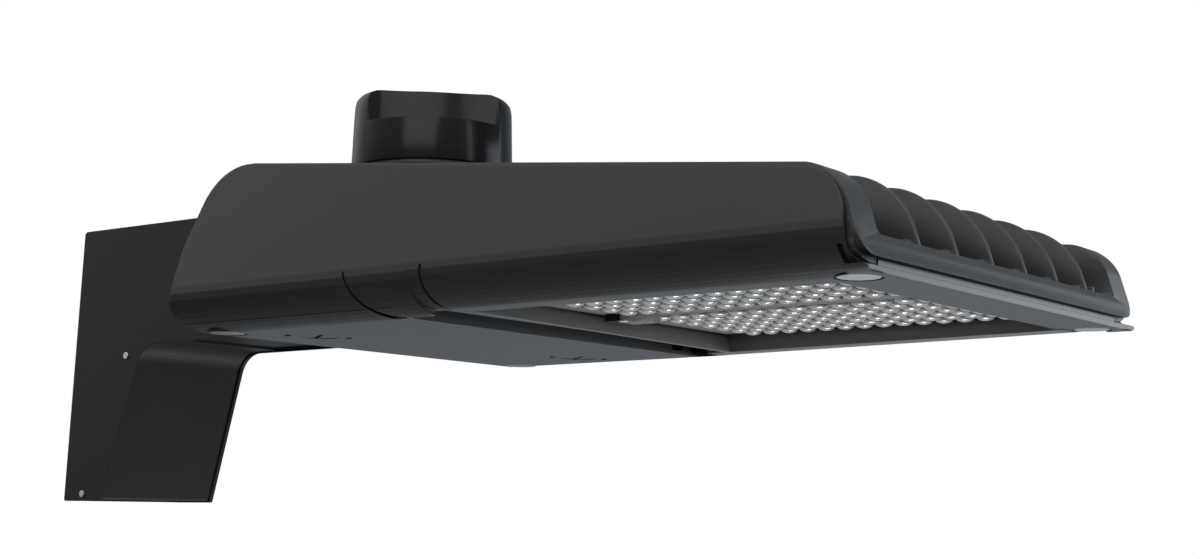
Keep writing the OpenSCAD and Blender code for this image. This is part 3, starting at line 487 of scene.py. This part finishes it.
def block(low, high):
    """A box between two corners, as a form to cut with or to soften."""
    corners = [(low[0], low[2]), (high[0], low[2]), (high[0], high[2]), (low[0], high[2])]
    return outline_solid(corners, low[1], high[1])


def round_long_edges(form, radius, below=200.0, steps=10):
    """Rounds the level edges that run along X and lie below a height."""
    level = 0.000001
    edges = [edge for edge in form.edges
             if abs(edge.verts[0].co.y - edge.verts[1].co.y) < level
             and abs(edge.verts[0].co.z - edge.verts[1].co.z) < level
             and edge.verts[0].co.z < (below + HEAD_RISE) * MM]
    bmesh.ops.bevel(form, geom=edges, offset=radius * MM, affect="EDGES", segments=steps, profile=0.5,
                    material=-1)
    return form


def spun(profile, steps=64, closed=True):
    """A turned shape from (radius, height) points in millimetres, about the Z axis."""
    form = bmesh.new()
    verts = [form.verts.new((radius * MM, 0.0, height * MM)) for radius, height in profile]
    edges = [form.edges.new(pair) for pair in zip(verts, verts[1:])]
    if closed:
        edges.append(form.edges.new((verts[-1], verts[0])))
    bmesh.ops.spin(form, geom=verts + edges, axis=(0.0, 0.0, 1.0), cent=(0.0, 0.0, 0.0), steps=steps,
                   angle=2.0 * math.pi, use_merge=True)
    bmesh.ops.remove_doubles(form, verts=form.verts[:], dist=0.01 * MM)
    bmesh.ops.recalc_face_normals(form, faces=form.faces[:])
    return form


def put(form, x, y, z, turn=0.0, axis="Z"):
    """Turns a form made about the origin and puts it at a point of the head."""
    spot = Matrix.Translation(head(x, y, z)) @ Matrix.Rotation(math.radians(turn), 4, axis)
    bmesh.ops.transform(form, matrix=spot, verts=form.verts[:])
    return form


def soften(form, width, steps=2):
    """Rounds the sharp edges of a form."""
    sharp_angle = math.radians(32.0)
    sharp = [edge for edge in form.edges
             if len(edge.link_faces) == 2 and edge.calc_face_angle() > sharp_angle]
    bmesh.ops.bevel(form, geom=sharp, offset=width * MM, affect="EDGES", segments=steps, profile=0.5,
                    material=-1, clamp_overlap=True)
    return form


def as_object(name, forms):
    """One object from closed forms that lie side by side."""
    whole = bmesh.new()
    for form in forms:
        part = bpy.data.meshes.new("part")
        form.to_mesh(part)
        form.free()
        whole.from_mesh(part)
        bpy.data.meshes.remove(part)
    mesh = bpy.data.meshes.new(name)
    whole.to_mesh(mesh)
    whole.free()
    piece = bpy.data.objects.new(name, mesh)
    bpy.context.scene.collection.objects.link(piece)
    return piece


def apply_modifier(piece, kind, **settings):
    """Applies one modifier to a piece at once."""
    modifier = piece.modifiers.new(kind.lower(), kind)
    for key, value in settings.items():
        setattr(modifier, key, value)
    with bpy.context.temp_override(object=piece, active_object=piece, selected_objects=[piece]):
        bpy.ops.object.modifier_apply(modifier=modifier.name)


def join_or_cut(piece, forms, operation):
    """Adds forms to a piece or cuts them out of it, one after the other."""
    for form in forms:
        tool = as_object("tool", [form])
        apply_modifier(piece, "BOOLEAN", operation=operation, solver="EXACT", object=tool)
        bpy.data.objects.remove(tool)


def finish_piece(piece, material, replaced, smooth=35.0):
    """Gives a piece its finish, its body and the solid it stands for."""
    piece.data.materials.append(material)
    piece.data.shade_smooth()
    piece.data.set_sharp_from_angle(angle=math.radians(smooth))
    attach(piece, "root")
    if replaced:
        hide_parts(replaced)


def make_casting():
    """Die-cast heat sink: roof, flanks that end in the nose posts, and the lower bar."""
    rise = 0.1
    bar_foot = (nose(BAR_BOTTOM), BAR_BOTTOM)
    outline = [(SINK_START, BAR_BOTTOM), bar_foot, crest(rise), (ROOF_START, rim(ROOF_START) + rise),
               (SINK_START, rim(62.0) - 4.0)]
    body = outline_solid(outline, -SINK_HALF, SINK_HALF, {2: POST_ROUND}, 20)
    round_long_edges(body, SINK_ROUND, BAR_BOTTOM + 0.1)
    casting = as_object("nose_casting", [body])
    # The bar's tip has a tighter round than the body inside the shell, and a plug fills the gap behind it
    tip = outline_solid([(BAR_TIP, BAR_BOTTOM), bar_foot, (BAR_TIP, BAR_TIP_TOP)], -SINK_HALF, SINK_HALF)
    round_long_edges(tip, BAR_ROUND)
    plug = outline_solid([(490.0, PLUG_BOTTOM), (503.0, PLUG_BOTTOM), (502.0, 14.0), (494.0, 40.0),
                          (490.0, 40.0)], -PLUG_HALF, PLUG_HALF)
    round_long_edges(plug, PLUG_ROUND, 16.0)
    join_or_cut(casting, [tip, plug], "UNION")
    bay = block((BAY_START, -BAY_HALF, BAY_FLOOR), (540.0, BAY_HALF, 160.0))
    round_long_edges(bay, BAY_ROUND, 26.0, 5)
    boards = block((BAY_START, -HOLLOW_HALF, 0.0), (BOARD_END, HOLLOW_HALF, BOARD_TOP))
    driver_bay = outline_solid([(70.0, -1.0), (200.0, -1.0), (200.0, rim(200.0) - CAVITY_WALL),
                                (78.0, rim(78.0) - CAVITY_WALL)], -HOLLOW_HALF, HOLLOW_HALF)
    channel = block((61.0, -168.0, 5.0), (223.0, 168.0, 9.4))
    socket = spun([(0.0, -60.0), (SOCKET_RADIUS, -60.0), (SOCKET_RADIUS, 60.0), (0.0, 60.0)], 64, False)
    put(socket, CONTROL_X, CONTROL_Y, 90.0)
    lead_hole = spun([(0.0, -8.0), (LEAD_RADIUS, -8.0), (LEAD_RADIUS, 8.0), (0.0, 8.0)], 24, False)
    put(lead_hole, 202.0, 0.0, 13.7, 90.0, "Y")
    join_or_cut(casting, [bay, boards, driver_bay, channel, socket, lead_hole], "DIFFERENCE")
    apply_modifier(casting, "BEVEL", width=CASTING_EDGE * MM, segments=3, limit_method="ANGLE",
                   angle_limit=math.radians(40.0), use_clamp_overlap=True)
    finish_piece(casting, CASTING_COAT, "heat_sink", 40.0)


def make_seat():
    """Raised round seat of the light control."""
    base = 82.0
    ring = spun([(SOCKET_RADIUS, base), (SEAT_RADIUS, base), (SEAT_RADIUS, SEAT_TOP),
                 (SOCKET_RADIUS, SEAT_TOP)], 96)
    put(soften(ring, 0.8), CONTROL_X, CONTROL_Y, 0.0)
    finish_piece(as_object("control_seat", [ring]), CASTING_COAT, None)


def make_fins():
    """Fins that stand a little proud of the posts, each with a cast foot on the bar."""
    forms = []
    start = BAY_START - 1.0
    bottom = BAY_FLOOR - 1.0
    foot_top = BAY_FLOOR + FOOT_HEIGHT
    reach = nose(BAY_FLOOR)
    pitch = 2.0 * (BAY_HALF - 1.0) / (FIN_COUNT + 1)
    for index in range(FIN_COUNT):
        y = (index - (FIN_COUNT - 1) / 2.0) * pitch
        outline = [(start, bottom), (reach + 0.2, bottom), crest(FIN_PROUD), (start, rim(start) + FIN_PROUD)]
        fin = outline_solid(outline, y - FIN_THICK / 2.0, y + FIN_THICK / 2.0, {2: FIN_ROUND}, 24)
        forms.append(soften(fin, 0.7, 3))
        foot = outline_solid([(reach - 13.0, bottom), (reach - 2.0, bottom), (reach - 2.8, foot_top),
                              (reach - 11.0, foot_top)], y - 7.5, y - 0.5)
        forms.append(soften(foot, 0.5))
    finish_piece(as_object("cooling_fins", forms), CASTING_COAT, None)


def make_pillow(form):
    """One pillow lens that hangs from the origin: rings drawn in and down from a circle."""
    bmesh.ops.create_circle(form, cap_ends=False, segments=28, radius=1.0)
    edges = form.edges[:]
    turn = math.radians(12.0)
    for ring in range(1, 8):
        rise = ring * turn
        grown = bmesh.ops.extrude_edge_only(form, edges=edges)
        verts = new_verts(grown)
        edges = [item for item in grown["geom"] if isinstance(item, bmesh.types.BMEdge)]
        span = math.cos(rise) / math.cos(rise - turn)
        drop = math.sin(rise) - math.sin(rise - turn)
        bmesh.ops.scale(form, vec=(span, span, 1.0), verts=verts)
        bmesh.ops.translate(form, vec=(0.0, 0.0, -drop), verts=verts)
    bmesh.ops.contextual_create(form, geom=edges)
    bmesh.ops.scale(form, vec=Vector(LENS_SIZE) * MM, verts=form.verts[:])
    return form.verts[:] + form.edges[:] + form.faces[:]


def side_block(side, inner, outer, start, end, low, high):
    """A softened slab on one side of the head's middle."""
    near, far = sorted((side * inner, side * outer))
    return soften(block((start, near, low), (end, far, high)), 0.3)


def make_lens_strips():
    """Clear moulded strips with a pillow lens over every light source."""
    for name, side, node in (("optic_near", -1.0, "lens_strip_near"), ("optic_far", 1.0, "lens_strip_far")):
        form = bmesh.new()
        pillow = make_pillow(form)
        for column in range(LENS_COLUMNS):
            x = LENS_MID + (column - (LENS_COLUMNS - 1) / 2.0) * LENS_PITCH
            for row in range(1, LENS_ROWS + 1):
                verts = new_verts(bmesh.ops.duplicate(form, geom=pillow))
                bmesh.ops.translate(form, vec=head(x, side * row * LENS_ROW_PITCH, LENS_BASE), verts=verts)
        first = [item for item in pillow if isinstance(item, bmesh.types.BMVert)]
        bmesh.ops.delete(form, geom=first, context="VERTS")
        bmesh.ops.recalc_face_normals(form, faces=form.faces[:])
        plate = side_block(side, 8.8, 130.3, 246.0, 449.2, 10.4, 11.3)
        flange = side_block(side, 6.5, 131.4, 243.8, 451.4, 11.2, 12.2)
        finish_piece(as_object(name, [form, plate, flange]), MOULDED_LENS, node, 40.0)


def make_cap():
    """Light control: drafted cap with a rounded shoulder and two pressed grips."""
    wall = [(48.4, 0.0), (51.0, 0.0), (50.0, 34.0), (49.7, 40.0), (48.9, 43.4), (47.0, 45.6), (44.4, 46.7),
            (41.5, 47.0), (0.0, 47.0), (0.0, 23.0), (46.6, 23.0)]
    cap = as_object("control_dome", [put(spun(wall, 128), CONTROL_X, CONTROL_Y, CONTROL_BOTTOM)])
    grip_line = ((33.0, -47.0), (26.4, -37.5), (25.6, -22.0), (27.6, 0.0), (25.6, 22.0), (26.4, 37.5),
                 (33.0, 47.0), (70.0, 60.0), (70.0, -60.0))
    grips = []
    for turn in (GRIP_TURN, GRIP_TURN + 180.0):
        grip = bmesh.new()
        verts = [grip.verts.new(Vector((x, y, GRIP_LEDGE)) * MM) for x, y in grip_line]
        grip.faces.new(verts)
        for index, reach in ((1, 5.0), (2, 7.0), (3, 9.0), (4, 7.0), (5, 5.0)):
            bmesh.ops.bevel(grip, geom=[verts[index]], offset=reach * MM, affect="VERTICES", segments=6,
                            profile=0.5, material=-1)
        drawn_out(grip, (0.0, 0.0, 50.0))
        grips.append(put(grip, CONTROL_X, CONTROL_Y, CONTROL_BOTTOM, turn))
    join_or_cut(cap, grips, "DIFFERENCE")
    apply_modifier(cap, "BEVEL", width=0.9 * MM, segments=3, limit_method="ANGLE",
                   angle_limit=math.radians(38.0), use_clamp_overlap=True)
    finish_piece(cap, GLOSS_BLACK, "control_cap", 30.0)


def make_discs():
    """Round corner discs on their stems, each in a dark ring that paints the shadow gap around it."""
    radius = DISC_RADIUS
    disc_line = [(0.0, 0.0), (radius - 0.5, 0.0), (radius, 0.25), (radius, DISC_EDGE),
                 (STEM_RADIUS, DISC_EDGE), (STEM_RADIUS, STEM_TOP), (0.0, STEM_TOP)]
    outer = radius + SHADOW_RING_WIDTH
    ring_line = [(radius, 0.15), (outer, 0.15), (outer, DISC_EDGE), (radius, DISC_EDGE)]
    discs = []
    rings = []
    for x, z in DISC_PLACES:
        for y in (-DISC_HALF, DISC_HALF):
            discs.append(put(spun(disc_line), x, y, z))
            rings.append(put(spun(ring_line), x, y, z))
    finish_piece(as_object("corner_discs", discs), CAP_METAL, "corner_caps", 25.0)
    # Painted shade: the dark ring stands for the shadow gap around each disc
    finish_piece(as_object("disc_shadow_rings", rings), RUBBER, None)


def make_trim():
    """Trim of the light opening: a far bar and a rear bar that reach down to the door's level."""
    start, end = 211.0, 477.0
    thinned = 2.3
    raised = 2.6
    section = ((127.0, -2.8), (144.0, -2.8), (149.0, -2.2), (153.0, -0.6), (156.0, 2.3), (150.0, 5.0),
               (131.6, 5.0), (130.0, 9.4), (128.4, 9.4))
    far = bmesh.new()
    far.faces.new([far.verts.new(head(start, y, z)) for y, z in section])
    ends = drawn_out(far, (end - start, 0.0, 0.0))
    # The bar thins out toward the nose
    low = [vert for vert in ends if vert.co.z < (HEAD_RISE - 0.5) * MM]
    bmesh.ops.translate(far, verts=low, vec=(0.0, 0.0, thinned * MM))
    far.normal_update()
    rear = block((226.4, -130.0, -2.8), (229.6, 130.0, 7.8))
    near = [vert for vert in rear.verts if vert.co.y < 0.0 and vert.co.z < HEAD_RISE * MM]
    bmesh.ops.translate(rear, verts=near, vec=(0.0, 0.0, raised * MM))
    trim = as_object("opening_trim", [soften(far, 0.4), soften(rear, 0.5)])
    finish_piece(trim, BEZEL_PLASTIC, None)


def make_floor():
    """A pale floor well below the lamp."""
    form = bmesh.new()
    bmesh.ops.create_grid(form, x_segments=1, y_segments=1, size=2.5)
    mesh = bpy.data.meshes.new("floor")
    form.to_mesh(mesh)
    form.free()
    floor = bpy.data.objects.new("floor", mesh)
    floor.location = (0.4, 0.0, -1.3)
    bpy.context.scene.collection.objects.link(floor)
    material, tree, surface = new_material("floor_paint")
    surface.inputs["Base Color"].default_value = (0.75, 0.75, 0.75, 1.0)
    surface.inputs["Roughness"].default_value = 0.9
    # It looks pale to the camera alone, so it throws no light up at the dark underside
    surface.inputs["Emission Strength"].default_value = 1.0
    sight = tree.nodes.new("ShaderNodeLightPath")
    pale = tree.nodes.new("ShaderNodeMix")
    pale.data_type = "RGBA"
    pale.inputs["A"].default_value = (0.0, 0.0, 0.0, 1.0)
    pale.inputs["B"].default_value = (0.7, 0.7, 0.69, 1.0)
    tree.links.new(sight.outputs["Is Camera Ray"], pale.inputs["Factor"])
    tree.links.new(pale.outputs["Result"], surface.inputs["Emission Color"])
    mesh.materials.append(material)


def make_world():
    """White to the camera, dim to matt surfaces, and bright in parts to glossy ones."""
    world = bpy.data.worlds.new("studio")
    world.use_nodes = True
    bpy.context.scene.world = world
    tree = world.node_tree
    link = tree.links.new

    def ramp(source, low, high):
        node = tree.nodes.new("ShaderNodeMapRange")
        node.interpolation_type = "SMOOTHSTEP"
        node.inputs["From Min"].default_value = low
        node.inputs["From Max"].default_value = high
        link(source, node.inputs["Value"])
        return node.outputs["Result"]

    def blend(kind, factor, first, second):
        node = tree.nodes.new("ShaderNodeMix")
        node.data_type = kind
        link(factor, node.inputs["Factor"])
        node.inputs["A"].default_value = first
        node.inputs["B"].default_value = second
        return node

    def larger(first, second):
        node = tree.nodes.new("ShaderNodeMath")
        node.operation = "MAXIMUM"
        link(first, node.inputs[0])
        link(second, node.inputs[1])
        return node.outputs["Value"]

    soft = tree.nodes["Background"]
    soft.inputs["Color"].default_value = (0.96, 0.98, 1.0, 1.0)
    soft.inputs["Strength"].default_value = WORLD_SOFT
    white = tree.nodes.new("ShaderNodeBackground")
    white.inputs["Color"].default_value = (1.0, 1.0, 1.0, 1.0)
    # What gloss mirrors: bright above the horizon on the near side, bright all round on the far side
    way = tree.nodes.new("ShaderNodeTexCoord")
    split = tree.nodes.new("ShaderNodeSeparateXYZ")
    link(way.outputs["Generated"], split.inputs["Vector"])
    above = ramp(split.outputs["Z"], -0.3, 0.3)
    beyond = ramp(split.outputs["Y"], 0.1, 0.5)
    bright = blend("FLOAT", beyond, WORLD_NEAR, WORLD_GLARE)
    level = blend("FLOAT", larger(above, beyond), WORLD_DARK, WORLD_GLARE)
    link(bright.outputs["Result"], level.inputs["B"])
    tint = blend("RGBA", beyond, (1.0, 1.0, 0.96, 1.0), (0.8, 0.9, 1.0, 1.0))
    glare = tree.nodes.new("ShaderNodeBackground")
    link(level.outputs["Result"], glare.inputs["Strength"])
    link(tint.outputs["Result"], glare.inputs["Color"])
    path = tree.nodes.new("ShaderNodeLightPath")
    shine = tree.nodes.new("ShaderNodeMixShader")
    link(path.outputs["Is Glossy Ray"], shine.inputs["Fac"])
    link(soft.outputs["Background"], shine.inputs[1])
    link(glare.outputs["Background"], shine.inputs[2])
    seen = larger(path.outputs["Is Camera Ray"], path.outputs["Is Transmission Ray"])
    mix = tree.nodes.new("ShaderNodeMixShader")
    link(seen, mix.inputs["Fac"])
    link(shine.outputs["Shader"], mix.inputs[1])
    link(white.outputs["Background"], mix.inputs[2])
    link(mix.outputs["Shader"], tree.nodes["World Output"].inputs["Surface"])


def area_light(name, spot, aim, size, power, colour=(1.0, 1.0, 1.0)):
    """A rectangular lamp at a spot, turned to its aim, in metres and watts."""
    data = bpy.data.lights.new(name, "AREA")
    data.shape = "RECTANGLE"
    data.size = size[0]
    data.size_y = size[1]
    data.energy = power
    data.color = colour
    lamp = bpy.data.objects.new(name, data)
    bpy.context.scene.collection.objects.link(lamp)
    lamp.location = spot
    lamp.rotation_euler = (Vector(aim) - Vector(spot)).to_track_quat("-Z", "Y").to_euler()


def make_lights():
    """Key on the near side, soft light from above, and lamps for the nose, the cap and the lenses."""
    area_light("key", (1.05, -1.35, 0.75), (0.7, -0.1, 0.05), (1.3, 0.9), 9.0, (1.0, 1.0, 0.96))
    area_light("overhead", (0.4, 0.2, 2.2), (0.4, 0.0, 0.0), (2.5, 2.5), 10.0)
    area_light("nose", (1.5, 1.3, 0.1), (0.7, 0.1, 0.0), (0.9, 0.9), 6.5, (0.88, 0.94, 1.0))
    area_light("strip", (2.3, 0.2, 0.5), (0.45, -0.07, 0.12), (0.18, 1.2), 2.5)
    area_light("under", (0.45, 0.62, -1.15), (0.62, 0.0, 0.0), (0.45, 0.45), 7.0)


dress_frame()
make_casting()
make_seat()
make_fins()
make_lens_strips()
make_cap()
make_discs()
make_trim()
make_camera()
make_floor()
make_world()
make_lights()
bpy.context.scene.view_settings.view_transform = "Standard"
